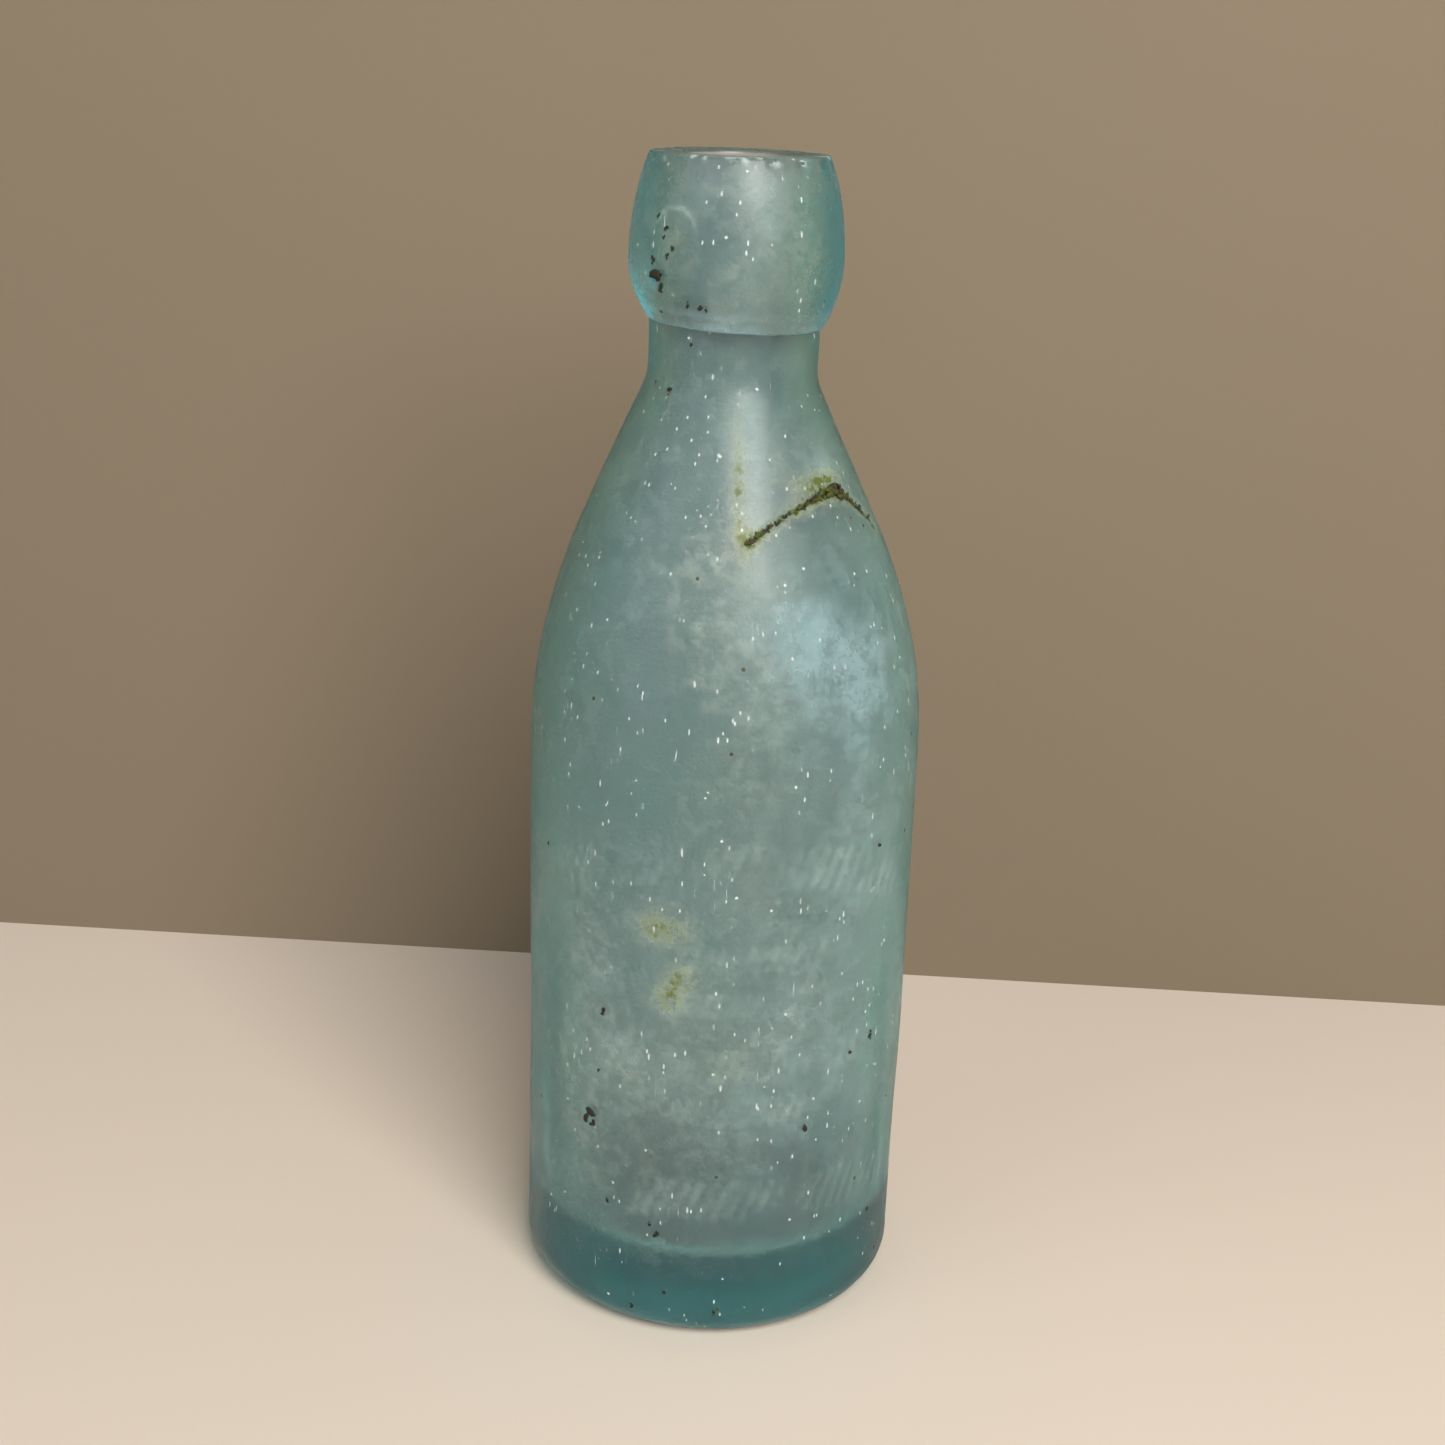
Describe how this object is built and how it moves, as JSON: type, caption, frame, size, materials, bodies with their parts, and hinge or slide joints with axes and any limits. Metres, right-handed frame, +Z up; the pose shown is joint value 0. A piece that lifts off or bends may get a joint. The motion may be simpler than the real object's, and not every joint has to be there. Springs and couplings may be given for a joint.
{
  "type": "glass bottle",
  "caption": "Antique blob-top glass bottle: round body with sloping shoulder, thick base, short neck and a heavy applied lip round an open mouth.",
  "frame": {"origin": "centre of the resting ring under the base, on the surface the bottle stands on", "axes": "+Z up along the bottle's axis, through the mouth; -Y towards the viewer, with the crack on the +X side of the shoulder"},
  "size_m": [0.0624, 0.0624, 0.184],
  "materials": {
    "blown_glass": "matte, weathered aqua glass with a milky haze",
    "lip_glass": "matte, weathered aqua glass",
    "soil": "dry earth, brown and green"
  },
  "bodies": {
    "root": {"bottle_body": "blown_glass", "applied_lip": "lip_glass", "crack_soil": "soil"}
  },
  "joints": []
}
